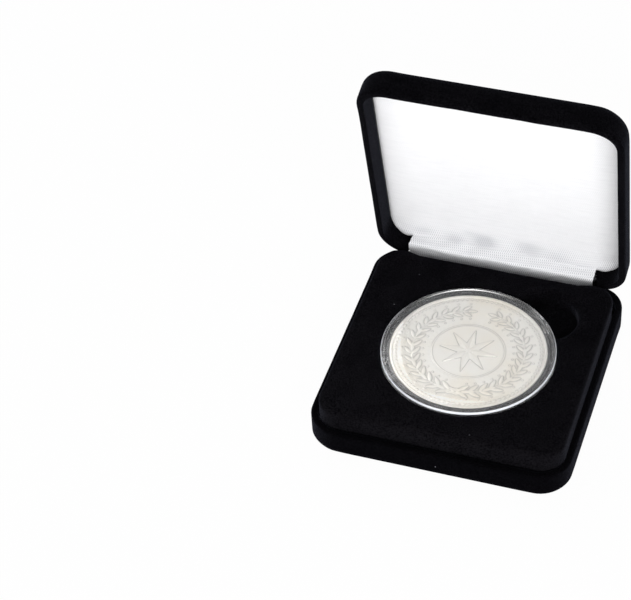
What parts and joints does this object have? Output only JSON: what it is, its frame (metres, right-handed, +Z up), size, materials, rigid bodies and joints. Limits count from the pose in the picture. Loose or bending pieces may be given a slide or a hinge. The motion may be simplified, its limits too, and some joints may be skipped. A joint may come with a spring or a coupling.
{
  "type": "coin display case",
  "caption": "Velour-covered coin case with a spring-hinged, satin-lined lid, a raised insert with a round well and thumb notch, and a clear capsule holding a coin.",
  "frame": {"origin": "middle of the base's underside", "axes": "X across the case to the right, Y from the front to the hinge, Z up out of the underside; the lid is open at rest"},
  "size_m": [0.067, 0.0732, 0.0775],
  "materials": {
    "velour": "black velour, short pile",
    "shell_plastic": "moulded black plastic",
    "insert_board": "pressed grey board, laminated",
    "card": "grey card",
    "wadding": "white polyester wadding",
    "satin": "white satin weave, soft sheen",
    "hinge_steel": "nickel-plated spring steel",
    "capsule_clear": null,
    "coin_silver": "struck silver, satin lustre"
  },
  "bodies": {
    "base": {"base_shell": "shell_plastic", "base_velour": "velour", "insert_block": "insert_board", "insert_velour": "velour", "well_lining": "velour", "well_floor_card": "card", "well_floor_velour": "velour", "hinge_base_leaf": "hinge_steel", "hinge_pin": "hinge_steel", "hinge_springs": "hinge_steel", "base_leaf_rivets": "hinge_steel", "satin_apron": "satin"},
    "lid": {"lid_shell": "shell_plastic", "lid_velour": "velour", "lid_pad_card": "card", "lid_pad_wadding": "wadding", "lid_satin": "satin", "hinge_lid_leaf": "hinge_steel", "lid_leaf_rivets": "hinge_steel"},
    "capsule": {"capsule_base": "capsule_clear", "capsule_cover": "capsule_clear", "coin": "coin_silver"}
  },
  "joints": [
    {"name": "lid_hinge", "type": "hinge", "parent": "base", "child": "lid", "pos_m": [0, 0.03385, 0.0103], "axis": [-1, 0, 0], "range_deg": [-77.4, 0], "deforming": ["satin_apron"]},
    {"name": "capsule_turn", "type": "hinge", "parent": "base", "child": "capsule", "pos_m": [0.0003, -0.0024, 0.01], "axis": [0, 0, 1], "continuous": true}
  ]
}
